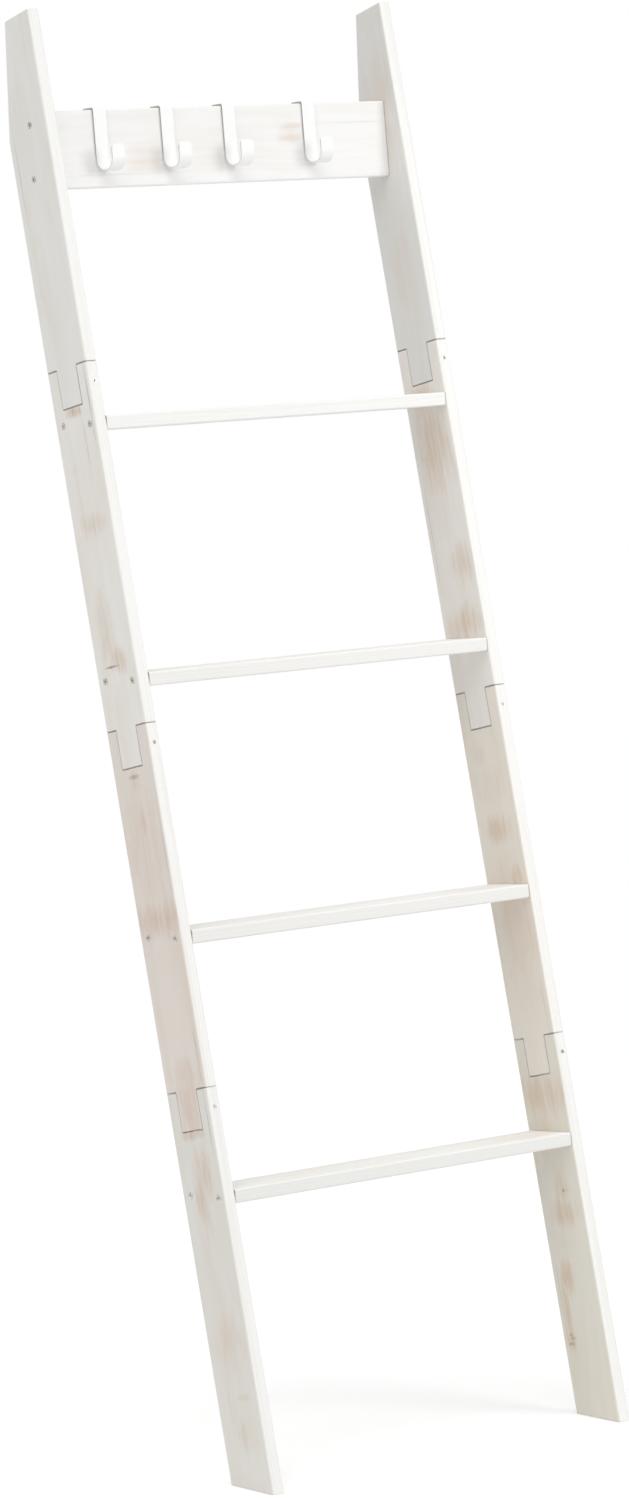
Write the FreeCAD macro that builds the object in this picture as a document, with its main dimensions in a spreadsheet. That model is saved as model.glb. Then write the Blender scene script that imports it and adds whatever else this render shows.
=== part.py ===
"""Blanket ladder: two jointed plank rails, four plank rungs and a hook board with four strip hooks.

Millimetres. X runs across the ladder, +Y points at the wall it leans on and +Z is up.
The origin is on the floor, under the middle of the whole ladder.
"""
import FreeCAD, Part
import os

import Sketcher

# Driving dimensions: a name, its size (angles in degrees) and what it measures.
DIMENSIONS = (
    ("width", 500, "across the outer faces of the two rails"),
    ("lean", 12, "the rails' lean from upright"),
    ("rail_thickness", 15, "rail plank, across the ladder"),
    ("rail_depth", 72, "rail plank, front edge to back edge"),
    ("rail_arris", 2.5, "rounding of the rails' long edges"),
    ("end_ease", 0.5, "chamfer where a rail plank ends, at a joint, the foot or the head"),
    ("section_length", 434, "cut length of each of the three lower planks of a rail, with its tongue"),
    ("top_length", 427, "cut length of the head plank, with its tongue"),
    ("tongue_length", 43, "tongue of a rail joint, along the rail"),
    ("tongue_width", 36, "tongue of a rail joint, along the rail's depth"),
    ("joint_gap", 0.3, "glue line round a tongue and under its shoulders"),
    ("wall_bevel", 130, "length of rail cut away at the back of the head to lie flat on the wall"),
    ("bevel_round", 40, "rounding where the bevel meets the rail's back edge"),
    ("head_slope", 5, "fall of the rails' heads towards the wall, from square to the rails"),
    ("pitch", 8, "rise of the rungs and the hook board towards the back, from square to the rails"),
    ("first_rung", 323, "front top edge of the lowest rung, along the rail from its foot"),
    ("rung_spacing", 277.7, "from one rung to the next, along the rail"),
    ("rung_depth", 68, "rung plank, front to back"),
    ("rung_thickness", 15, "rung plank, top to bottom"),
    ("rung_arris", 2, "rounding of the rungs' long edges"),
    ("board_height", 84, "hook board, top to bottom"),
    ("board_thickness", 15, "hook board, front to back"),
    ("board_arris", 2, "rounding of the hook board's long edges"),
    ("board_drop", 107.7, "front top edge of the hook board, along the rail from its head"),
    ("board_setback", 20.7, "front top edge of the hook board, behind the rails' front edge"),
    ("screw_head", 8, "countersunk head of the screws through the rails, across"),
    ("screw_shank", 4, "shank of the screws through the rails, across"),
    ("screw_length", 45, "screws through the rails, head to point"),
    ("screw_recess", 4.4, "cross recess of those screws, across"),
    ("rung_screw_inset", 10, "from a rung's front or back edge to its nearest screw"),
    ("board_screw_top", 14, "upper board screw, below the board's top edge"),
    ("board_screw_bottom", 12, "lower board screw, above the board's bottom edge"),
    ("joint_head", 5, "countersunk head of the screws in the rail joints, across"),
    ("joint_shank", 2.6, "shank of the screws in the rail joints, across"),
    ("joint_length", 40, "screws in the rail joints, head to point"),
    ("joint_recess", 2.8, "cross recess of those screws, across"),
    ("recess_slot", 0.9, "width of each arm of a cross recess"),
    ("recess_depth", 1.2, "depth of a cross recess"),
    ("screw_point", 5, "length of a screw's point"),
    ("screw_fit", 0.1, "clearance all round a screw in its hole"),
    ("hook_strip", 2, "thickness of the hooks' flat strip"),
    ("hook_width", 17, "width of the hooks' flat strip"),
    ("hook_clearance", 0.3, "from a hook to the board it hangs on"),
    ("hook_back", 28, "how far a hook reaches down behind the board, from the board's top"),
    ("hook_drop", 67.5, "lowest point of a hook, below the board's top"),
    ("hook_reach", 31, "front of a hook's tip, ahead of the board's face"),
    ("hook_tip_drop", 39.5, "top of a hook's tip, below the board's top"),
    ("hook_bend", 12, "inner radius of a hook's upturned foot"),
    ("hook_top_bend", 1, "inner radius where a hook turns over the board"),
    ("hook_end_round", 5, "rounding of the corners of the strip's two ends"),
    ("hook_place_1", 87.3, "middle of the first hook, from the left rail's outer face"),
    ("hook_place_2", 178, "middle of the second hook"),
    ("hook_place_3", 263, "middle of the third hook"),
    ("hook_place_4", 374.5, "middle of the fourth hook"),
)
SIDES = (("left", -1), ("right", 1))
SECTIONS = ("bottom", "lower_middle", "upper_middle", "top")
RUNGS = 4
HOOKS = 4
TOUCHING = 0.01   # how near an edge has to pass a place to be picked there

# Lengths worked out from the driving dimensions.
INSIDE = "(sizes.width - 2 * sizes.rail_thickness)"
SECTION_STEP = "(sizes.section_length - sizes.tongue_length)"
RAIL_LENGTH = f"({len(SECTIONS) - 1} * {SECTION_STEP} + sizes.top_length)"
FOOTPRINT = (f"(({RAIL_LENGTH} - sizes.wall_bevel) * sin(sizes.lean)"
             " + sizes.rail_depth * cos(sizes.lean))")
PRONG = "((sizes.rail_depth - sizes.tongue_width) / 2)"
BOARD_LEVEL = f"({RAIL_LENGTH} - sizes.board_drop)"
HEAD_DEPTH = ("((sizes.rail_depth - sizes.wall_bevel * tan(sizes.lean))"
              " / (1 - tan(sizes.lean) * tan(sizes.head_slope)))")

# The leaning frame: Y goes back from the rails' front edge and Z goes up along it.
LEANING = f"placement(vector(0; -{FOOTPRINT} / 2; 0); rotation(vector(1; 0; 0); -sizes.lean))"

doc = FreeCAD.newDocument("blanket_ladder")
sizes = doc.addObject("Spreadsheet::Sheet", "sizes")
for row, (name, number, note) in enumerate(DIMENSIONS, start=1):
    sizes.set(f"A{row}", name)
    sizes.set(f"B{row}", str(number))
    sizes.set(f"C{row}", note)
    sizes.setAlias(f"B{row}", name)
doc.recompute()


def value(expression):
    """What an expression in the sheet's names comes to."""
    return float(sizes.evalExpression(expression.replace("sizes.", "")))


def new_sketch(body, name, role, offset="0"):
    """A sketch on one of the body's own origin planes, moved along that plane's normal."""
    sketch = body.newObject("Sketcher::SketchObject", name)
    for plane in body.Origin.OriginFeatures:
        if plane.Role == role:
            sketch.AttachmentSupport = (plane, "")
    sketch.MapMode = "FlatFace"
    sketch.setExpression("AttachmentOffset.Base.z", offset)
    return sketch


def hold(sketch, element, point, place):
    """Ties one point of a sketched element to a place given as two expressions."""
    for kind, expression in zip(("DistanceX", "DistanceY"), place):
        constraint = Sketcher.Constraint(kind, -1, 1, element, point, value(expression))
        index = sketch.addConstraint(constraint)
        sketch.setExpression(f"Constraints[{index}]", expression)


def draw_outline(sketch, corners):
    """A closed outline of straight lines through the corners."""
    places = [FreeCAD.Vector(value(across), value(up), 0) for across, up in corners]
    for index, place in enumerate(places):
        following = places[(index + 1) % len(places)]
        sketch.addGeometry(Part.LineSegment(place, following))
    for index, corner in enumerate(corners):
        previous = (index - 1) % len(corners)
        sketch.addConstraint(Sketcher.Constraint("Coincident", previous, 2, index, 1))
        hold(sketch, index, 1, corner)


def draw_circles(sketch, places, diameter):
    """Circles of one size about the given places."""
    for index, (across, up) in enumerate(places):
        middle = FreeCAD.Vector(value(across), value(up), 0)
        sketch.addGeometry(Part.Circle(middle, FreeCAD.Vector(0, 0, 1), value(diameter) / 2))
        hold(sketch, index, 3, (across, up))
        size = sketch.addConstraint(Sketcher.Constraint("Diameter", index, value(diameter)))
        sketch.setExpression(f"Constraints[{size}]", diameter)


def new_body(name, placement):
    body = doc.addObject("PartDesign::Body", name)
    body.Label = name
    body.setExpression("Placement", placement)
    return body


def add_pad(body, name, corners, thickness):
    """A plate of the outlined shape in the YZ plane, as thick to the left as to the right."""
    sketch = new_sketch(body, f"{name}_outline", "YZ_Plane")
    draw_outline(sketch, corners)
    pad = body.newObject("PartDesign::Pad", f"{name}_plate")
    pad.Profile = sketch
    pad.SideType = "Symmetric"
    pad.setExpression("Length", thickness)
    doc.recompute()
    return pad


def edges_at(shape, places):
    """Names of the edges that pass through any of the places."""
    points = [Part.Vertex(place) for place in places]
    return [f"Edge{index}" for index, edge in enumerate(shape.Edges, start=1)
            if any(point.distToShape(edge)[0] < TOUCHING for point in points)]


def dress(body, kind, name, places, size):
    """Rounds (Fillet) or bevels (Chamfer) the edges of the newest shape at the places."""
    base = body.Tip
    feature = body.newObject(f"PartDesign::{kind}", name)
    feature.Base = (base, edges_at(base.Shape, places))
    feature.setExpression("Radius" if kind == "Fillet" else "Size", size)
    doc.recompute()
    return feature


def middles(corners, picked, across):
    """Middles of the picked sides of an outline, on the plate's faces at each place across."""
    found = []
    for index in picked:
        start, end = corners[index], corners[(index + 1) % len(corners)]
        back = (value(start[0]) + value(end[0])) / 2
        up = (value(start[1]) + value(end[1])) / 2
        found += [FreeCAD.Vector(side, back, up) for side in across]
    return found


def corner_places(corners, picked):
    """The picked corners of an outline, at the middle of the plate."""
    return [FreeCAD.Vector(0, value(corners[index][0]), value(corners[index][1])) for index in picked]


def make_sure_it_cut(feature, base):
    if feature.Shape.Volume >= base.Shape.Volume - TOUCHING:
        raise RuntimeError(f"{feature.Name} removes nothing")


def drill(body, name, role, offset, places, screw, length=None, backwards=False):
    """Countersunk screw holes through the body, or as deep as the length given."""
    base = body.Tip
    sketch = new_sketch(body, f"{name}_centres", role, offset)
    bore = f"(sizes.{screw}_shank + 2 * sizes.screw_fit)"
    draw_circles(sketch, places, bore)
    doc.recompute()
    hole = body.newObject("PartDesign::Hole", name)
    hole.Profile = sketch
    hole.Reversed = backwards
    hole.setExpression("Diameter", bore)
    hole.HoleCutType = "Countersink"
    hole.HoleCutCustomValues = True
    hole.setExpression("HoleCutDiameter", f"sizes.{screw}_head + 2 * sizes.screw_fit")
    hole.HoleCutCountersinkAngle = 90
    hole.DepthType = "ThroughAll"
    if length:
        hole.DepthType = "Dimension"
        hole.DrillPoint = "Flat"
        hole.setExpression("Depth", length)
    doc.recompute()
    make_sure_it_cut(hole, base)


# ---- Rails ---------------------------------------------------------------------------------

def crosspieces():
    """Each piece between the rails: its set-back and level, and its screws in its own frame."""
    middle = "-sizes.rung_thickness / 2"
    rung_screws = (("sizes.rung_screw_inset", middle),
                   ("(sizes.rung_depth - sizes.rung_screw_inset)", middle))
    board_screws = (("sizes.board_thickness / 2", "-sizes.board_screw_top"),
                    ("sizes.board_thickness / 2", "(sizes.board_screw_bottom - sizes.board_height)"))
    rungs = [("0", f"(sizes.first_rung + {number} * sizes.rung_spacing)", rung_screws)
             for number in range(RUNGS)]
    return rungs + [("sizes.board_setback", BOARD_LEVEL, board_screws)]


def side_screws(bottom):
    """Screws through a rail's face, as places in the frame of a plank whose shoulder is at bottom."""
    places = []
    for set_back, level, screws in crosspieces():
        for back, up in screws:
            across = f"({set_back} + {back} * cos(sizes.pitch) - ({up}) * sin(sizes.pitch))"
            along = f"({level} + {back} * sin(sizes.pitch) + ({up}) * cos(sizes.pitch) - {bottom})"
            places.append((across, along))
    return places


def section_outline(foot, head):
    """Corners of a rail plank, and which sides are its long edges.

    The plank's own level is 0 at the foot, or at the shoulders of its tongue.
    """
    slot_front = f"({PRONG} - sizes.joint_gap)"
    slot_back = f"(sizes.rail_depth - {PRONG} + sizes.joint_gap)"
    tongue_back = f"(sizes.rail_depth - {PRONG})"
    if foot:
        lower = [("0", "0"), ("sizes.rail_depth", "sizes.rail_depth * tan(sizes.lean)")]
    else:
        lower = [("0", "0"), (PRONG, "0"), (PRONG, "-sizes.tongue_length"),
                 (tongue_back, "-sizes.tongue_length"), (tongue_back, "0"), ("sizes.rail_depth", "0")]
    if head:
        top = "(sizes.top_length - sizes.tongue_length)"
        upper = [("sizes.rail_depth", f"({top} - sizes.wall_bevel)"),
                 (HEAD_DEPTH, f"({top} - {HEAD_DEPTH} * tan(sizes.head_slope))"), ("0", top)]
        long_sides = (len(lower) - 1, len(lower), len(lower) + 2)
    else:
        length = "sizes.section_length" if foot else SECTION_STEP
        top = f"({length} - sizes.joint_gap)"
        slot_floor = f"({length} - sizes.tongue_length - sizes.joint_gap)"
        upper = [("sizes.rail_depth", top), (slot_back, top), (slot_back, slot_floor),
                 (slot_front, slot_floor), (slot_front, top), ("0", top)]
        long_sides = (len(lower) - 1, len(lower) + len(upper) - 1)
    return lower + upper, long_sides


def build_section(side_name, side, number):
    """One plank of a rail, with its joints, eased edges and screw holes."""
    foot = number == 0
    head = number == len(SECTIONS) - 1
    bottom = "0" if foot else f"({number} * {SECTION_STEP} + sizes.tongue_length)"
    name = f"{side_name}_rail_{SECTIONS[number]}"
    across = f"{side} * (sizes.width - sizes.rail_thickness) / 2"
    body = new_body(name, f"{LEANING} * placement(vector({across}; 0; {bottom});"
                          " rotation(vector(1; 0; 0); 0))")
    corners, long_sides = section_outline(foot, head)
    faces = (-value("sizes.rail_thickness") / 2, value("sizes.rail_thickness") / 2)
    add_pad(body, name, corners, "sizes.rail_thickness")
    if head:
        bend = corner_places(corners, long_sides[1:2])
        dress(body, "Fillet", f"{name}_bend", bend, "sizes.bevel_round")
    ends = [index for index in range(len(corners)) if index not in long_sides]
    dress(body, "Fillet", f"{name}_arris", middles(corners, long_sides, faces), "sizes.rail_arris")
    dress(body, "Chamfer", f"{name}_ease", middles(corners, ends, faces), "sizes.end_ease")

    lowest = 0 if foot else -value("sizes.tongue_length")
    highest = max(value(up) for _, up in corners)
    reach = value("sizes.screw_head") / 2
    through = [place for place in side_screws(bottom)
               if lowest - reach < value(place[1]) < highest + reach]
    if through:
        drill(body, f"{name}_side_holes", "YZ_Plane", f"{side} * sizes.rail_thickness / 2", through,
              "screw", backwards=side < 0)
    levels = [] if foot else ["-sizes.tongue_length / 2"]
    if not head:
        length = "sizes.section_length" if foot else SECTION_STEP
        levels.append(f"({length} - sizes.tongue_length / 2)")
    drill(body, f"{name}_joint_holes", "XZ_Plane", "0", [("0", level) for level in levels],
          "joint", length="sizes.joint_length + sizes.screw_fit")
    return body


# ---- Rungs and hook board ------------------------------------------------------------------

def pitched(set_back, level):
    """Frame of a crosspiece: its origin is in the middle of its front top edge."""
    return (f"{LEANING} * placement(vector(0; {set_back}; {level});"
            " rotation(vector(1; 0; 0); sizes.pitch))")


def build_crosspiece(name, depth, height, arris, set_back, level, screws):
    """A plank between the rails, with a pilot hole for each of its screws."""
    body = new_body(name, pitched(set_back, level))
    corners = [("0", f"-{height}"), (depth, f"-{height}"), (depth, "0"), ("0", "0")]
    add_pad(body, name, corners, INSIDE)
    dress(body, "Fillet", f"{name}_arris", corner_places(corners, range(len(corners))), arris)
    base = body.Tip
    sketch = new_sketch(body, f"{name}_screw_centres", "YZ_Plane", f"{INSIDE} / 2")
    draw_circles(sketch, screws, "sizes.screw_shank + 2 * sizes.screw_fit")
    pilot = body.newObject("PartDesign::Pocket", f"{name}_pilot_holes")
    pilot.Profile = sketch
    pilot.setExpression("Length", "sizes.screw_length - sizes.rail_thickness + sizes.screw_fit")
    doc.recompute()
    make_sure_it_cut(pilot, base)
    other_end = body.newObject("PartDesign::Mirrored", f"{name}_other_end")
    other_end.Originals = [pilot]
    for plane in body.Origin.OriginFeatures:
        if plane.Role == "YZ_Plane":
            other_end.MirrorPlane = (plane, "")
    body.Tip = other_end
    doc.recompute()
    make_sure_it_cut(other_end, pilot)
    return body


# ---- Hooks ---------------------------------------------------------------------------------

def build_hook(number):
    """A flat strip over the board, down its back and down its face into an upturned foot."""
    place = f"(sizes.hook_place_{number} - sizes.width / 2)"
    body = new_body(f"hook_{number}", pitched("sizes.board_setback", BOARD_LEVEL)
                    + f" * placement(vector({place}; 0; 0); rotation(vector(1; 0; 0); 0))")
    back_inner = "(sizes.board_thickness + sizes.hook_clearance)"
    back_outer = f"({back_inner} + sizes.hook_strip)"
    top_inner = "sizes.hook_clearance"
    top_outer = "(sizes.hook_clearance + sizes.hook_strip)"
    foot_inner = "(sizes.hook_strip - sizes.hook_drop)"
    tip_inner = "(sizes.hook_strip - sizes.hook_reach)"
    corners = [(back_inner, "-sizes.hook_back"), (back_inner, top_inner),
               ("-sizes.hook_clearance", top_inner), ("-sizes.hook_clearance", "-sizes.hook_drop"),
               ("-sizes.hook_reach", "-sizes.hook_drop"), ("-sizes.hook_reach", "-sizes.hook_tip_drop"),
               (tip_inner, "-sizes.hook_tip_drop"), (tip_inner, foot_inner),
               (f"-{top_outer}", foot_inner), (f"-{top_outer}", top_outer),
               (back_outer, top_outer), (back_outer, "-sizes.hook_back")]
    add_pad(body, f"hook_{number}", corners, "sizes.hook_width")
    bends = (("foot_outside", (3, 4), "sizes.hook_bend + sizes.hook_strip"),
             ("foot_inside", (7, 8), "sizes.hook_bend"),
             ("top_outside", (9, 10), "sizes.hook_top_bend + sizes.hook_strip"),
             ("top_inside", (1, 2), "sizes.hook_top_bend"))
    for name, turned, radius in bends:
        dress(body, "Fillet", f"hook_{number}_{name}", corner_places(corners, turned), radius)
    half = value("sizes.hook_width") / 2
    dress(body, "Fillet", f"hook_{number}_ends", middles(corners, (5, len(corners) - 1), (-half, half)),
          "sizes.hook_end_round")
    return body


# ---- Screws --------------------------------------------------------------------------------

def build_screw(screw):
    """One countersunk screw pointing down from its own origin at the middle of its head."""
    body = new_body(f"{screw}_pattern", "placement(vector(0; 0; 0); rotation(vector(1; 0; 0); 0))")
    head = f"sizes.{screw}_head / 2"
    shank = f"sizes.{screw}_shank / 2"
    length = f"sizes.{screw}_length"
    sketch = new_sketch(body, f"{screw}_side_view", "XZ_Plane")
    draw_outline(sketch, [("0", "0"), (head, "0"), (shank, f"-({head} - {shank})"),
                          (shank, f"-({length} - sizes.screw_point)"), ("0", f"-{length}")])
    turned = body.newObject("PartDesign::Revolution", f"{screw}_turned")
    turned.Profile = sketch
    turned.ReferenceAxis = (sketch, ["V_Axis"])
    turned.Angle = 360
    doc.recompute()
    arm = f"sizes.{screw}_recess / 2"
    slot = "sizes.recess_slot / 2"
    cross = new_sketch(body, f"{screw}_cross", "XY_Plane")
    draw_outline(cross, [(slot, slot), (arm, slot), (arm, f"-{slot}"), (slot, f"-{slot}"),
                         (slot, f"-{arm}"), (f"-{slot}", f"-{arm}"), (f"-{slot}", f"-{slot}"),
                         (f"-{arm}", f"-{slot}"), (f"-{arm}", slot), (f"-{slot}", slot),
                         (f"-{slot}", arm), (slot, arm)])
    recess = body.newObject("PartDesign::Pocket", f"{screw}_recess")
    recess.Profile = cross
    recess.setExpression("Length", "sizes.recess_depth")
    doc.recompute()
    make_sure_it_cut(recess, turned)
    return body


def group_screws(name, pattern, placements):
    """Copies of one screw at the placements, kept as separate solids of one group."""
    copies = []
    for number, placement in enumerate(placements, start=1):
        copy = doc.addObject("App::Link", f"{name}_{number}")
        copy.LinkedObject = pattern
        copy.setExpression("Placement", placement)
        copies.append(copy)
    group = doc.addObject("Part::Compound", name)
    group.Label = name
    group.Links = copies
    doc.recompute()
    return group


def side_screw_placements(pieces):
    """Screws driven in from both rails' outer faces, square to them."""
    placements = []
    for set_back, level, screws in pieces:
        for back, up in screws:
            for _, side in SIDES:
                across = f"{side} * sizes.width / 2"
                placements.append(f"{pitched(set_back, level)} * placement(vector({across}; {back}; {up});"
                                  f" rotation(vector(0; 1; 0); {90 * side}))")
    return placements


def joint_screw_placements():
    """Screws driven in from the rails' front edges, through the middle of each tongue."""
    placements = []
    for _, side in SIDES:
        for number in range(1, len(SECTIONS)):
            level = f"({number} * {SECTION_STEP} + sizes.tongue_length / 2)"
            across = f"{side} * (sizes.width - sizes.rail_thickness) / 2"
            placements.append(f"{LEANING} * placement(vector({across}; 0; {level});"
                              " rotation(vector(1; 0; 0); 90))")
    return placements


# ---- The whole ladder ----------------------------------------------------------------------

def build_ladder():
    parts = [build_section(side_name, side, number)
             for side_name, side in SIDES for number in range(len(SECTIONS))]
    *rungs, board = crosspieces()
    for number, (set_back, level, screws) in enumerate(rungs, start=1):
        parts.append(build_crosspiece(f"rung_{number}", "sizes.rung_depth", "sizes.rung_thickness",
                                      "sizes.rung_arris", set_back, level, screws))
    parts.append(build_crosspiece("hook_board", "sizes.board_thickness", "sizes.board_height",
                                  "sizes.board_arris", *board))
    parts += [build_hook(number) for number in range(1, HOOKS + 1)]
    screw = build_screw("screw")
    parts.append(group_screws("rung_screws", screw, side_screw_placements(rungs)))
    parts.append(group_screws("board_screws", screw, side_screw_placements([board])))
    parts.append(group_screws("joint_screws", build_screw("joint"), joint_screw_placements()))
    return parts


def check(parts):
    for item in doc.Objects:
        if "Invalid" in item.State or "Error" in item.State:
            raise RuntimeError(f"{item.Label} did not compute: {item.State}")
    for part in parts:
        if part.Shape.isNull() or not part.Shape.isValid():
            raise RuntimeError(f"{part.Label} has no valid shape")


ladder = build_ladder()
check(ladder)
os.makedirs("parts", exist_ok=True)
for part in ladder:
    part.Shape.exportStep(f"parts/{part.Label}.step")
    print(part.Label, len(part.Shape.Solids), round(part.Shape.Volume))
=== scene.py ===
"""Looks of the blanket ladder: whitewashed planks, enamelled hooks, plated screws, studio and camera.

Metres. X runs across the ladder, +Y points at the wall it leans on and +Z is up.
"""

import math

import bpy
from mathutils import Matrix, Vector


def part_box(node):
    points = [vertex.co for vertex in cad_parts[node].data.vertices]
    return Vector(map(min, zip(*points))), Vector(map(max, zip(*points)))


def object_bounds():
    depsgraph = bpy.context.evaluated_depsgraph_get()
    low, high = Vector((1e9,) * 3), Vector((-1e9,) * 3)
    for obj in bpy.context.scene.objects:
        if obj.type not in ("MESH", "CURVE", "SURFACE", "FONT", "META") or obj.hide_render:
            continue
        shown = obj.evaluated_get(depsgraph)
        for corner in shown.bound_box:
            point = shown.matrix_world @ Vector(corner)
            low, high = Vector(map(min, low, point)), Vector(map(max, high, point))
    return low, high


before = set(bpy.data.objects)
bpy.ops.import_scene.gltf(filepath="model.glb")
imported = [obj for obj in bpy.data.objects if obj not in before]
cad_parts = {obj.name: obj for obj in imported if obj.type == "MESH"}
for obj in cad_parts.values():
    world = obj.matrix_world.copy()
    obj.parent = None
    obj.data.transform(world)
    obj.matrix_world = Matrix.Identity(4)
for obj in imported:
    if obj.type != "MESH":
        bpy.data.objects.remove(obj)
cad_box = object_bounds()

# ---- The planks, as part.py makes them -----------------------------------------------------
MM = 0.001
LEAN = math.radians(12)            # the rails' lean from upright
BACKWARD = math.radians(4)         # how far the rungs and the board tip back
SHOULDER = 434 * MM                # lowest joint, from the foot along the rail
TONGUE = 43 * MM                   # tongue of a joint, downward from its shoulders
STEP = SHOULDER - TONGUE           # from one joint to the next
TONGUE_HALF = 18 * MM              # half the tongue's width
RAIL_MIDDLE = 36 * MM              # middle of the rail's depth
HALF_LENGTH = 235 * MM             # half a rung, between the rails

# ---- Grain, in a plank's own coordinates: through it, across it and along it ---------------
THROUGH = Vector((1, 0, 0))
ALONG = Vector((0, 0, 1))
# How finely the patterns vary in the three directions: the wood's fibres, the marks of the brush,
# the cloudy thickness of the coat, the ragged borders of bare spots, and the bends of the rings.
FIBRE = Vector((700, 700, 8))
BRUSH = Vector((170, 190, 3))
CLOUD = Vector((20, 26, 6))
TATTER = Vector((60, 120, 22))
WANDER = Vector((7, 7, 2.1))
SEED_STEP = Vector((1.37, 0.71, 2.13))     # how far a seed of 1 moves the patterns
PITH = Vector((-0.060, 0.030, 0))  # the middle of the tree that a plank was sawn from
RINGS_PER_METRE = 260.0
RING_WANDER = 35 * MM              # how far the growth rings wander from round
RAGGEDNESS = 2.6                   # of the marks' borders, in shares of their half size
MARK_EDGE = 1.6                    # where a mark has faded out, in the same shares
MARK_CORE = 0.1                    # and where it is at its full strength

# ---- Coat: the values of a pattern between which it sets in, and how strong it gets --------
LATE_WOOD = (0.35, 0.95)           # the dark share of a growth ring
THIN_CLOUD = (0.35, 0.75)          # where the coat is cloudy and thin
FIGURE_CLOUD = (0.35, 0.80)        # where the late wood shows through it
LEAST_FIGURE = 0.02
BRUSH_MARK = (0.42, 0.75)
BRUSH_STRENGTH = 0.35
FIBRE_LINE = (0.60, 0.85)
FIBRE_STRENGTH = 0.12
END_RING = (0.25, 0.95)            # the rings on a sawn end
END_RING_STRENGTH = (0.10, 0.40)
RUBBED = (0.30, 0.70)              # brush marks within a bare spot
RUBBED_STRENGTH = (0.70, 1.50)
BROAD_FACE = (0.35, 0.95)          # how far a face looks through its plank, from an edge to a broad face
SAWN_END = (0.80, 0.97)            # how far it looks along the grain, from a side to a sawn end
ROUGH_BRUSH = (0.30, 0.80)
COAT_ROUGHNESS = (0.55, 0.70)
COAT_BUMP = 0.30
COAT_RELIEF = 0.20 * MM

# ---- Lines where planks meet ---------------------------------------------------------------
LINE_EDGE = 1.3 * MM               # how far from its middle a line has faded out
SHOULDER_CORE = 0.4 * MM           # how far it is darkest, at a tongue's shoulders and end
RAIL_CORE = 0.3 * MM               # and where a rung or the board meets a rail
SIDE_EDGE = 1.1 * MM               # the same two along a tongue's sides
SIDE_CORE = 0.1 * MM
LINE_WOBBLE = 0.5 * MM             # how far the ragged noise moves a line's border
JOINT_STRENGTH = (0.35, 0.75)      # on a plank's edges and on its broad faces
SIDE_STRENGTH = 0.75               # along a tongue's sides, as a share of that
RAIL_STRENGTH = 0.6

# ---- Metal ---------------------------------------------------------------------------------
HOOKS = 4
EDGE_SHADE_ABOVE_BEND = (6 * MM, 24 * MM)    # above a hook's lowest point, where its sheared edge turns dark: bare metal and painted shade
EDGE_SHADE_BEHIND_TIP = (8 * MM, 26 * MM)     # behind a hook's foremost point, likewise
EDGE_SHADE_AT_BEND = 0.45                      # how much of the sheared edge's darkening, bare metal and painted shade, is left at the bend or at the tip
LOW_SCREWS = (0.50, 0.35)          # heights between which the smear on the screws grows
LOW_SMEAR = 1.4                    # by how much
SHEARED_EDGE = (0.75, 0.98)        # how far a face looks along X, to be a sheared edge
PEEL_FINENESS = 900.0
SPECK_FINENESS = 1400.0
SMEAR_FINENESS = Vector((500, 500, 180))
SMEAR = (0.42, 0.62)               # between which values of its noise the smear sets in
METAL_CLOUD = 0.985                # what the darker parts keep of the enamel's colour
METAL_RELIEF = 0.05 * MM
ENAMEL_ROUGHNESS = (0.38, 0.46)
ZINC_ROUGHNESS = (0.40, 0.60)

# ---- Colours (linear) ----------------------------------------------------------------------
WASH_EDGE = (0.892, 0.890, 0.872)  # the coat where it lies thick, on the planks' narrow edges
PINE = (0.60, 0.415, 0.27)         # wood that shows where the coat is rubbed away, also the colour of the painted shade on the right rail
PINK_PINE = (0.62, 0.40, 0.30)     # the same on a redder plank
THIN_TINT = (0.970, 0.955, 0.930)  # what a thin coat keeps of the thick coat's colour
KNOT = (0.22, 0.13, 0.08)
SEAM = (0.16, 0.125, 0.10)         # glue line and dirt where planks meet
GRAIN_LINE = (0.45, 0.43, 0.41)    # fine dark lines of the grain
END_GRAIN = (0.76, 0.72, 0.64)     # sawn ends, which drink the coat
ENAMEL = (0.910, 0.910, 0.905)
ZINC = (0.46, 0.435, 0.40)
CUT_EDGE_AND_SHADE = (0.42, 0.42, 0.41)      # the hooks' sheared edges: bare metal, and painted shade of the strip's side and of its shadow on the board
PAPER_WHITE = (0.88, 0.88, 0.88)

# ---- Light: what a white surface gets from each source, where 1 renders as white -----------
AROUND = 0.53
KEY = 0.265
OVERHEAD = 0.43
KEY_FROM = Vector((0.55, -1.0, 0.50))
KEY_AT = Vector((-0.15, 0.0, 0.95))    # where the key light is aimed
KEY_DISTANCE = 2.2
KEY_SIZE = 1.1
OVERHEAD_FROM = Vector((-0.42, -0.35, 1.0))
OVERHEAD_SPREAD = math.radians(60)
PAPER_GLOW = 0.215                 # makes the lit floor white to the camera

# ---- Floor ---------------------------------------------------------------------------------
FLOOR_RADIUS = 9.0
FLOOR_SIDES = 96
FLOOR_GAP = 0.2 * MM               # below the feet

# ---- Camera --------------------------------------------------------------------------------
CAMERA_AZIMUTH = math.radians(-38.39)
CAMERA_ELEVATION = math.radians(5.65)
CAMERA_ROLL = math.radians(-2.08)
CAMERA_AIM = Vector((-7.9, 2.8, 755.0)) * MM
CAMERA_DISTANCE = 6.634
CAMERA_REACH = 100.0
LENS = 146.49                      # millimetres, as is the sensor
SENSOR = 36


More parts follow.
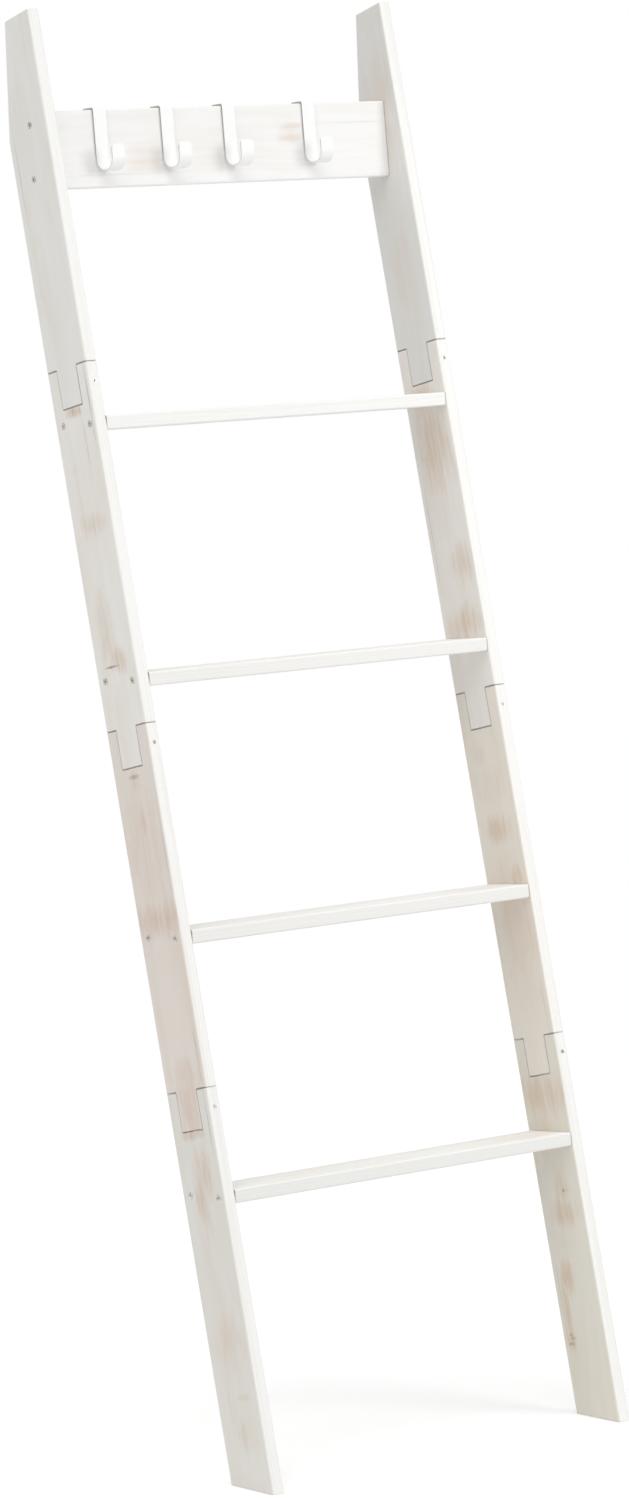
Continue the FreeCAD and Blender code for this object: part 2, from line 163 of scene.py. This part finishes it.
class Tree:
    """Short way to add the nodes of one material or world and to join them."""

    # The colour sockets of a mix node, which share their names with its other kinds' sockets.
    COLOR_A = 6
    COLOR_B = 7
    COLOR_OUT = 2

    def __init__(self, tree):
        self.tree = tree

    def add(self, kind, inputs=None, **settings):
        """A new node with its settings, and each named input set or joined."""
        node = self.tree.nodes.new("ShaderNode" + kind)
        for key, setting in settings.items():
            setattr(node, key, setting)
        for key, given in (inputs or {}).items():
            self.put(node.inputs[key], given)
        return node

    def put(self, socket, given):
        """Joins the socket to another node's output, or sets it to a constant."""
        if isinstance(given, bpy.types.NodeSocket):
            self.tree.links.new(given, socket)
        elif isinstance(given, tuple) and socket.type == "RGBA":
            socket.default_value = (*given, 1.0)
        else:
            socket.default_value = given

    def math(self, operation, *values):
        node = self.add("Math", operation=operation)
        for index, given in enumerate(values):
            self.put(node.inputs[index], given)
        return node.outputs[0]

    def vector(self, operation, *values):
        node = self.add("VectorMath", operation=operation)
        for index, given in enumerate(values):
            self.put(node.inputs[index], given)
        return node.outputs["Value" if operation in ("LENGTH", "DOT_PRODUCT") else "Vector"]

    def ramp(self, given, low, high, to_low=0.0, to_high=1.0):
        """Smooth step of a value, from to_low at low to to_high at high."""
        inputs = {"Value": given, "From Min": low, "From Max": high, "To Min": to_low, "To Max": to_high}
        return self.add("MapRange", inputs, interpolation_type="SMOOTHSTEP").outputs["Result"]

    def noise(self, vector, scale, detail=3.0, roughness=0.5, distortion=0.0):
        inputs = {"Vector": vector, "Scale": scale, "Detail": detail, "Roughness": roughness,
                  "Distortion": distortion}
        return self.add("TexNoise", inputs).outputs["Fac"]

    def mix(self, factor, first, second):
        """The first colour where the factor is 0, and the second where it is 1."""
        node = self.add("Mix", data_type="RGBA", clamp_factor=True)
        self.put(node.inputs["Factor"], factor)
        self.put(node.inputs[self.COLOR_A], first)
        self.put(node.inputs[self.COLOR_B], second)
        return node.outputs[self.COLOR_OUT]


def new_material(name):
    material = bpy.data.materials.new(name)
    material.use_nodes = True
    material.node_tree.nodes.clear()
    return material, Tree(material.node_tree)


def finish_material(tree, color, roughness, height, bump, depth, **constants):
    """Principled surface with a bump, on the tree's output.

    constants are more of the surface's inputs, with _ for each space in their names.
    """
    surface = tree.add("BsdfPrincipled", {"Base Color": color, "Roughness": roughness})
    for name, number in constants.items():
        surface.inputs[name.replace("_", " ")].default_value = number
    relief = tree.add("Bump", {"Height": height, "Strength": bump, "Distance": depth})
    tree.put(surface.inputs["Normal"], relief.outputs["Normal"])
    output = tree.add("OutputMaterial")
    tree.put(output.inputs["Surface"], surface.outputs["BSDF"])


# ---- Whitewashed pine ----------------------------------------------------------------------

def grain_place(tree, turned, origin):
    """Object coordinates turned with the plank: (through it, across it, along its grain)."""
    coordinates = tree.add("TexCoord").outputs["Object"]
    inputs = {"Vector": coordinates, "Location": origin, "Rotation": turned.to_euler()}
    return tree.add("Mapping", inputs, vector_type="TEXTURE").outputs["Vector"]


def facing(tree, direction):
    """1 on the faces that look along a direction or against it, and 0 on those beside it."""
    normal = tree.add("TexCoord").outputs["Normal"]
    return tree.math("ABSOLUTE", tree.vector("DOT_PRODUCT", normal, direction))


def marks(tree, place, ragged, listed):
    """Each listed mark's strength inside its ellipse, 0 outside, with ragged borders.

    A mark is (across, along, half width, half length, strength), with its lengths in millimetres.
    """
    total = 0.0
    for across, along, half_width, half_length, strength in listed:
        away = tree.vector("SUBTRACT", place, Vector((0, across * MM, along * MM)))
        shaped = tree.vector("MULTIPLY", away, Vector((0, 1 / (half_width * MM), 1 / (half_length * MM))))
        distance = tree.math("ADD", tree.vector("LENGTH", shaped), ragged)
        total = tree.math("MAXIMUM", total, tree.ramp(distance, MARK_EDGE, MARK_CORE, 0.0, strength))
    return total


def joint_lines(tree, place, ragged):
    """Up to 1 on the glue lines of the rail joints: under the shoulders and round the tongue."""
    parts = tree.add("SeparateXYZ", {"Vector": place}).outputs
    wobble = tree.math("MULTIPLY", ragged, LINE_WOBBLE)
    from_midway = tree.math("SUBTRACT", parts["Z"], SHOULDER - STEP / 2)
    above = tree.math("SUBTRACT", tree.math("FLOORED_MODULO", from_midway, STEP), STEP / 2)
    aside = tree.math("ABSOLUTE", tree.math("SUBTRACT", parts["Y"], RAIL_MIDDLE))
    in_tongue = tree.math("LESS_THAN", aside, TONGUE_HALF)
    from_shoulder = tree.math("ADD", tree.math("ABSOLUTE", above), wobble)
    from_end = tree.math("ADD", tree.math("ABSOLUTE", tree.math("ADD", above, TONGUE)), wobble)
    from_side = tree.math("ADD", tree.math("ABSOLUTE", tree.math("SUBTRACT", aside, TONGUE_HALF)), wobble)
    shoulder = tree.math("MULTIPLY", tree.ramp(from_shoulder, LINE_EDGE, SHOULDER_CORE),
                         tree.math("SUBTRACT", 1.0, in_tongue))
    end = tree.math("MULTIPLY", tree.ramp(from_end, LINE_EDGE, SHOULDER_CORE), in_tongue)
    beside = tree.math("COMPARE", above, -TONGUE / 2, TONGUE / 2)
    side = tree.math("MULTIPLY", tree.ramp(from_side, SIDE_EDGE, SIDE_CORE, 0.0, SIDE_STRENGTH), beside)
    line = tree.math("MAXIMUM", shoulder, tree.math("MAXIMUM", end, side))
    at_three_joints = tree.math("COMPARE", parts["Z"], SHOULDER + STEP, 1.3 * STEP)
    return tree.math("MULTIPLY", line, at_three_joints)


def rail_lines(tree, place):
    """Above 0 where a rung or the hook board meets a rail, and 0 elsewhere."""
    along = tree.add("SeparateXYZ", {"Vector": place}).outputs["Z"]
    from_rail = tree.math("ABSOLUTE", tree.math("SUBTRACT", tree.math("ABSOLUTE", along), HALF_LENGTH))
    return tree.ramp(from_rail, LINE_EDGE, RAIL_CORE, 0.0, RAIL_STRENGTH)


def streaks(tree, place, fineness, **settings):
    """Noise from 0 to 1 that is drawn out along the grain."""
    return tree.noise(tree.vector("MULTIPLY", place, fineness), 1.0, **settings)


def growth_rings(tree, place, own):
    """0 to 1 from the inner to the outer side of each growth ring."""
    wander = tree.math("MULTIPLY", streaks(tree, own, WANDER, detail=2.0), RING_WANDER)
    from_pith = tree.vector("MULTIPLY", tree.vector("SUBTRACT", place, PITH), Vector((1, 1, 0)))
    radius = tree.math("ADD", tree.vector("LENGTH", from_pith), wander)
    return tree.math("FRACT", tree.math("MULTIPLY", radius, RINGS_PER_METRE))


def whitewashed(name, turned, origin, seed, coat, bare_wood, edge=WASH_EDGE, figure=0.09, bare_and_shade=(),
                lines=(), knots=(), jointed=False):
    """Brushed whitewash over pine, whose grain runs along the plank.

    turned and origin set the plank's own coordinates, and seed moves its pattern. edge is the coat of
    the narrow edges. figure is how much of the dark late wood shows through the coat. bare, lines and
    knots list marks, and jointed planks have the lines of the rail joints. The first are spots where the
    wood shows through the coat, and on the right rail also painted shade next to the rungs.
    """
    material, tree = new_material(name)
    place = grain_place(tree, turned, origin)
    own = tree.vector("ADD", place, SEED_STEP * seed)
    rings = growth_rings(tree, place, own)
    late = tree.ramp(rings, *LATE_WOOD)
    fibre = streaks(tree, own, FIBRE, detail=3.0, roughness=0.6)
    brush = streaks(tree, own, BRUSH, detail=4.0, roughness=0.6)
    cloud = streaks(tree, own, CLOUD, detail=3.0, roughness=0.55, distortion=0.4)
    tatter = streaks(tree, own, TATTER, detail=5.0, roughness=0.65)
    ragged = tree.math("MULTIPLY", tree.math("SUBTRACT", tatter, 0.5), RAGGEDNESS)
    broad_facing = facing(tree, turned @ THROUGH)
    broad = tree.ramp(broad_facing, *BROAD_FACE)
    end = tree.ramp(facing(tree, turned @ ALONG), *SAWN_END)

    thin = tuple(channel * tint for channel, tint in zip(coat, THIN_TINT))
    color = tree.mix(tree.ramp(cloud, *THIN_CLOUD), coat, thin)
    color = tree.mix(broad, edge, color)
    color = tree.mix(tree.ramp(brush, *BRUSH_MARK, 0.0, BRUSH_STRENGTH), color, thin)
    late_shows = tree.math("MULTIPLY", late, tree.ramp(cloud, *FIGURE_CLOUD, LEAST_FIGURE, figure))
    color = tree.mix(late_shows, color, bare_wood)
    color = tree.mix(tree.ramp(fibre, *FIBRE_LINE, 0.0, FIBRE_STRENGTH), color, GRAIN_LINE)
    ringed_end = tree.mix(tree.ramp(rings, *END_RING, *END_RING_STRENGTH), END_GRAIN, bare_wood)
    color = tree.mix(end, color, ringed_end)
    if bare_and_shade:
        # Spots where the wood shows through the coat, and on the right rail painted shade next to the
        # rungs, in the wood's colour.
        brushed = tree.ramp(brush, *RUBBED, *RUBBED_STRENGTH)
        rubbed_and_shaded = tree.math("MULTIPLY", marks(tree, place, ragged, bare_and_shade), brushed)
        color = tree.mix(tree.math("MULTIPLY", rubbed_and_shaded, broad), color, bare_wood)
    if lines:
        color = tree.mix(marks(tree, place, ragged, lines), color, GRAIN_LINE)
    if knots:
        color = tree.mix(marks(tree, place, tree.math("MULTIPLY", ragged, 0.6), knots), color, KNOT)
    if jointed:
        strength = tree.ramp(broad_facing, *BROAD_FACE, *JOINT_STRENGTH)
        seam = tree.math("MULTIPLY", joint_lines(tree, place, ragged), strength)
    else:
        seam = rail_lines(tree, place)
    color = tree.mix(seam, color, SEAM)

    height = tree.math("ADD", tree.math("MULTIPLY", fibre, 0.6), tree.math("MULTIPLY", brush, 0.5))
    height = tree.math("ADD", height, tree.math("MULTIPLY", late, 0.25))
    roughness = tree.ramp(brush, *ROUGH_BRUSH, *COAT_ROUGHNESS)
    finish_material(tree, color, roughness, height, COAT_BUMP, COAT_RELIEF, Specular_IOR_Level=0.3)
    return material


# Each rail plank: its coat, the wood under it, and where that wood, painted shade, dark lines and knots
# show, measured from the rail's front edge and from its foot.
RAIL_PLANKS = {
    "left_rail_top": {"coat": (0.853, 0.845, 0.812), "bare_wood": PINE,
                      "bare_and_shade": ((44, 1300, 10, 40, 0.06),),
                      "lines": ((62, 1420, 1.0, 60, 0.3),)},
    "left_rail_upper_middle": {
        "coat": (0.880, 0.864, 0.828), "bare_wood": PINE,
        "bare_and_shade": ((36, 1168, 13, 6, 0.60), (35, 1045, 18, 14, 0.28), (46, 1107, 8, 7, 0.12),
                 (42, 930, 14, 40, 0.19), (29, 898, 16, 13, 0.36), (30, 1085, 26, 70, 0.06)),
        "lines": ((5.5, 1178, 0.8, 42, 0.7), (22, 1122, 0.8, 26, 0.4)),
        "knots": ((43, 892, 10, 1.3, 0.75),)},
    "left_rail_lower_middle": {
        "coat": (0.803, 0.754, 0.697), "bare_wood": PINK_PINE,
        "bare_and_shade": ((36, 617, 46, 17, 0.34), (36, 690, 34, 56, 0.13), (33, 722, 6, 20, 0.34),
                 (37, 768, 9, 12, 0.22), (36, 416, 19, 30, 0.30), (34, 452, 22, 16, 0.20)),
        "lines": ((6, 470, 0.8, 30, 0.6), (3.2, 690, 0.8, 90, 0.35)),
        "knots": ((36, 772, 9, 2.5, 0.45),)},
    "left_rail_bottom": {
        "coat": (0.795, 0.778, 0.738), "bare_wood": PINE,
        "bare_and_shade": ((36, 387, 19, 5, 0.40), (28, 346, 12, 24, 0.40), (38, 320, 8, 32, 0.40),
                 (38, 290, 6, 22, 0.12), (34, 168, 24, 24, 0.20), (22, 105, 10, 3, 0.18),
                 (34, 65, 10, 16, 0.20), (40, 230, 30, 50, 0.05)),
        "lines": ((6, 400, 0.8, 32, 0.6), (50, 90, 0.8, 30, 0.3))},
    # The right rail's coats are darker and warmer than the left rail's: partly the wood's own tone, and
    # partly painted shade and painted warm reflected light on its inner face.
    "right_rail_top": {"coat": (0.765, 0.757, 0.728), "bare_wood": PINE,
                       "bare_and_shade": ((28, 1503, 22, 34, 0.18), (24, 1448, 18, 44, 0.10),
                                (40, 1290, 14, 40, 0.10))},
    "right_rail_upper_middle": {
        "coat": (0.832, 0.808, 0.765), "bare_wood": PINE,
        # The marks at 1100 and 900 are partly bare wood and partly painted shade next to the rungs.
        "bare_and_shade": ((34, 1100, 24, 46, 0.36), (19, 967, 17, 19, 0.32), (34, 900, 32, 17, 0.36),
                 (40, 1163, 18, 9, 0.30), (40, 1030, 26, 40, 0.05)),
        "lines": ((64, 1010, 0.8, 60, 0.4),)},
    "right_rail_lower_middle": {
        "coat": (0.803, 0.755, 0.685), "bare_wood": PINE,
        # The marks at 611 and 555 are partly bare wood and partly painted shade next to the second rung.
        "bare_and_shade": ((36, 667, 20, 15, 0.42), (20, 611, 11, 12, 0.42), (48, 755, 9, 14, 0.12),
                 (32, 555, 30, 66, 0.18), (34, 716, 26, 20, 0.10)),
        "lines": ((8, 470, 0.8, 30, 0.4),)},
    "right_rail_bottom": {
        "coat": (0.765, 0.738, 0.662), "bare_wood": PINE,
        # The mark at 370 is partly bare wood and partly painted shade next to the lowest rung.
        "bare_and_shade": ((36, 370, 34, 22, 0.38), (34, 236, 19, 15, 0.40), (30, 264, 11, 17, 0.30),
                 (47, 168, 11, 19, 0.48), (58, 130, 7, 38, 0.30), (58, 96, 9, 11, 0.36),
                 (45, 325, 24, 28, 0.16), (44, 205, 14, 20, 0.10)),
        "lines": ((64, 120, 0.8, 60, 0.4),),
        "knots": ((29, 261, 2.2, 1.8, 0.60), (60, 92, 5, 1.6, 0.40), (54, 98, 4, 1.4, 0.35),
                  (58, 102, 3, 1.4, 0.35))},
}
# The rungs and the hook board: the same, measured back from a rung's front edge or down from the
# board's top, and from the middle of the ladder to the right.
CROSSPIECES = {
    "rung_1": {"coat": (0.872, 0.864, 0.838), "edge": (0.823, 0.828, 0.806),
               "bare_and_shade": ((34, 190, 30, 44, 0.14), (50, -60, 8, 60, 0.08)),
               "lines": ((8, -60, 0.8, 110, 0.45), (22, 40, 0.8, 150, 0.40), (36, -100, 0.8, 100, 0.40),
                         (60, 170, 1.2, 60, 0.50))},
    "rung_2": {"coat": (0.866, 0.860, 0.840), "edge": (0.845, 0.841, 0.819),
               "bare_and_shade": ((24, -120, 10, 40, 0.10), (30, 180, 24, 40, 0.10)),
               "lines": ((12, 90, 0.8, 90, 0.45), (44, -60, 0.8, 110, 0.40))},
    "rung_3": {"coat": (0.870, 0.864, 0.844), "edge": (0.860, 0.855, 0.834),
               "bare_and_shade": ((40, 30, 10, 60, 0.10),),
               "lines": ((20, -80, 0.8, 90, 0.45), (52, 60, 0.8, 110, 0.40))},
    "rung_4": {"coat": (0.868, 0.864, 0.850), "bare_and_shade": ((30, 100, 12, 50, 0.12),),
               "lines": ((10, -60, 0.8, 90, 0.45), (34, 80, 0.8, 110, 0.40))},
    "hook_board": {"coat": (0.895, 0.893, 0.886), "figure": 0.05,
                   "bare_and_shade": ((54, -108, 15, 22, 0.14), (30, 98, 12, 17, 0.26), (58, 20, 12, 40, 0.04)),
                   "lines": ((70, -150, 0.8, 60, 0.20), (22, 190, 0.8, 40, 0.20))},
}
RAIL_TURN = Matrix.Rotation(-LEAN, 3, "X")
RUNG_TURN = Matrix.Rotation(-BACKWARD, 3, "X") @ Matrix.Rotation(math.radians(90), 3, "Y")
BOARD_TURN = RUNG_TURN @ Matrix.Rotation(math.radians(-90), 3, "Z")
FRONT_OF_FOOT = Vector((0.0, cad_box[0].y, 0.0))


def dress_planks():
    """Each plank in a coat of its own, with a seed of its own, so that no two have one pattern."""
    for number, (node, looks) in enumerate(RAIL_PLANKS.items()):
        seed = 1.0 + 2.9 * number
        cover(node, whitewashed(f"whitewash_{node}", RAIL_TURN, FRONT_OF_FOOT, seed, jointed=True, **looks))
    for number, (node, looks) in enumerate(CROSSPIECES.items()):
        seed = 40.0 + 3.7 * number
        low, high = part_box(node)
        front_top = Vector((0.0, low.y, high.z))
        turned = BOARD_TURN if node == "hook_board" else RUNG_TURN
        cover(node, whitewashed(f"whitewash_{node}", turned, front_top, seed, bare_wood=PINE, **looks))


def cover(node, material):
    """The material on every face of a CAD node."""
    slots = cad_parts[node].data.materials
    for index in range(len(slots)):
        slots[index] = material
    if not slots:
        slots.append(material)


# ---- Metal ---------------------------------------------------------------------------------

def enamel():
    """White powder coat with the faint orange peel of the baked powder.

    Its sheared edges are darker, partly as bare metal and partly as painted shade of the strip's side
    next to the board, most of all along the straight leg and over the board.
    """
    material, tree = new_material("hook_enamel_white")
    place = tree.add("TexCoord").outputs["Object"]
    peel = tree.noise(place, PEEL_FINENESS, detail=2.0)
    cloud = tree.noise(place, 60.0, detail=2.0)
    shaded = tuple(channel * METAL_CLOUD for channel in ENAMEL)
    color = tree.mix(tree.ramp(cloud, 0.3, 0.7), ENAMEL, shaded)
    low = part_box("hook_1")[0]
    parts = tree.add("SeparateXYZ", {"Vector": place}).outputs
    sheared = tree.ramp(facing(tree, Vector((1, 0, 0))), *SHEARED_EDGE)
    above_bend = tree.ramp(parts["Z"], low.z + EDGE_SHADE_ABOVE_BEND[0], low.z + EDGE_SHADE_ABOVE_BEND[1], EDGE_SHADE_AT_BEND, 1.0)
    behind_tip = tree.ramp(parts["Y"], low.y + EDGE_SHADE_BEHIND_TIP[0], low.y + EDGE_SHADE_BEHIND_TIP[1], EDGE_SHADE_AT_BEND, 1.0)
    edge_bare_and_shade = tree.math("MULTIPLY", above_bend, behind_tip)
    # Painted shade: the sheared edges are darkened partly as bare metal and partly as the shade of the
    # strip's side beside the board, less at the bend and the tip.
    color = tree.mix(tree.math("MULTIPLY", sheared, edge_bare_and_shade), color, CUT_EDGE_AND_SHADE)
    roughness = tree.ramp(peel, 0.2, 0.8, *ENAMEL_ROUGHNESS)
    finish_material(tree, color, roughness, peel, bump=0.15, depth=METAL_RELIEF, Specular_IOR_Level=0.5)
    return material


def zinc(name, whitewash):
    """Plated screws, dulled and smeared with whitewash, the lowest ones most.

    whitewash is how far the smear covers the zinc under it.
    """
    material, tree = new_material(name)
    place = tree.add("TexCoord").outputs["Object"]
    speck = tree.noise(place, SPECK_FINENESS, roughness=0.6)
    smear = tree.noise(tree.vector("MULTIPLY", place, SMEAR_FINENESS), 1.0, detail=2.0)
    height = tree.add("SeparateXYZ", {"Vector": place}).outputs["Z"]
    coverage = tree.ramp(height, *LOW_SCREWS, whitewash, LOW_SMEAR * whitewash)
    smeared = tree.math("MULTIPLY", tree.ramp(smear, *SMEAR), coverage)
    color = tree.mix(smeared, ZINC, WASH_EDGE)
    roughness = tree.ramp(speck, 0.2, 0.8, *ZINC_ROUGHNESS)
    finish_material(tree, color, roughness, speck, bump=0.2, depth=METAL_RELIEF, Metallic=0.55)
    return material


def dress_metal():
    """One enamel for the four hooks, and one zinc for each kind of screw."""
    white = enamel()
    for number in range(1, HOOKS + 1):
        cover(f"hook_{number}", white)
    plated = zinc("screw_zinc", 0.6)
    cover("rung_screws", plated)
    cover("board_screws", plated)
    cover("joint_screws", zinc("joint_screw_zinc", 0.9))


# ---- Studio --------------------------------------------------------------------------------

def build_floor():
    """A wide round floor of pale paper, just under the ladder's feet."""
    mesh = bpy.data.meshes.new("studio_floor")
    turns = [math.tau * side / FLOOR_SIDES for side in range(FLOOR_SIDES)]
    level = cad_box[0].z - FLOOR_GAP
    rim = [(FLOOR_RADIUS * math.cos(turn), FLOOR_RADIUS * math.sin(turn), level) for turn in turns]
    mesh.from_pydata(rim, [], [tuple(range(FLOOR_SIDES))])
    floor = bpy.data.objects.new("studio_floor", mesh)
    bpy.context.scene.collection.objects.link(floor)
    material, tree = new_material("studio_paper")
    tone = tree.noise(tree.add("TexCoord").outputs["Object"], 1.5, detail=2.0)
    shaded = tuple(channel * 0.995 for channel in PAPER_WHITE)
    color = tree.mix(tree.ramp(tone, 0.3, 0.7), PAPER_WHITE, shaded)
    paper = tree.add("BsdfDiffuse", {"Color": color})
    strength = tree.math("MULTIPLY", seen_directly(tree), PAPER_GLOW)
    glow = tree.add("Emission", {"Color": (1.0, 1.0, 1.0), "Strength": strength})
    both = tree.add("AddShader")
    tree.put(both.inputs[0], paper.outputs["BSDF"])
    tree.put(both.inputs[1], glow.outputs["Emission"])
    tree.put(tree.add("OutputMaterial").inputs["Surface"], both.outputs["Shader"])
    mesh.materials.append(material)


def seen_directly(tree):
    """1 for what the camera sees, directly or in gloss and glass, and 0 for the light it sheds."""
    rays = tree.add("LightPath").outputs
    through_gloss = tree.math("MAXIMUM", rays["Is Glossy Ray"], rays["Is Transmission Ray"])
    return tree.math("MAXIMUM", rays["Is Camera Ray"], through_gloss)


def build_lights():
    """Pale light from all round, a soft key light from the front right and a wide sun overhead."""
    world = bpy.data.worlds.new("studio_world")
    world.use_nodes = True
    world.node_tree.nodes.clear()
    tree = Tree(world.node_tree)
    strength = tree.math("ADD", AROUND, tree.math("MULTIPLY", seen_directly(tree), 1.0 - AROUND))
    sky = tree.add("Background", {"Color": (1.0, 1.0, 1.0), "Strength": strength})
    tree.put(tree.add("OutputWorld").inputs["Surface"], sky.outputs["Background"])
    bpy.context.scene.world = world
    key = bpy.data.lights.new("key", "AREA")
    key.shape = "DISK"
    key.size = KEY_SIZE
    key.energy = KEY * math.pi ** 2 * KEY_DISTANCE ** 2
    hang(key, KEY_AT + KEY_FROM.normalized() * KEY_DISTANCE, KEY_FROM)
    overhead = bpy.data.lights.new("overhead", "SUN")
    overhead.energy = OVERHEAD * math.pi
    overhead.angle = OVERHEAD_SPREAD
    hang(overhead, OVERHEAD_FROM, OVERHEAD_FROM)


def hang(lamp, place, shines_from):
    """The lamp at a place, turned to shine from a direction."""
    source = bpy.data.objects.new(lamp.name, lamp)
    source.location = place
    source.rotation_mode = "QUATERNION"
    source.rotation_quaternion = shines_from.to_track_quat("Z", "Y")
    bpy.context.scene.collection.objects.link(source)


def build_camera():
    """The photograph's view: from the front left and slightly downwards."""
    camera = bpy.data.cameras.new("camera")
    camera.lens = LENS
    camera.sensor_width = SENSOR
    camera.clip_end = CAMERA_REACH
    viewer = bpy.data.objects.new("camera", camera)
    back = Vector((math.sin(CAMERA_AZIMUTH) * math.cos(CAMERA_ELEVATION),
                   -math.cos(CAMERA_AZIMUTH) * math.cos(CAMERA_ELEVATION),
                   math.sin(CAMERA_ELEVATION)))
    turn = back.to_track_quat("Z", "Y").to_matrix() @ Matrix.Rotation(CAMERA_ROLL, 3, "Z")
    viewer.matrix_world = Matrix.Translation(CAMERA_AIM + back * CAMERA_DISTANCE) @ turn.to_4x4()
    bpy.context.scene.collection.objects.link(viewer)
    bpy.context.scene.camera = viewer


bpy.context.scene.view_settings.view_transform = "Standard"
dress_planks()
dress_metal()
build_floor()
build_lights()
build_camera()
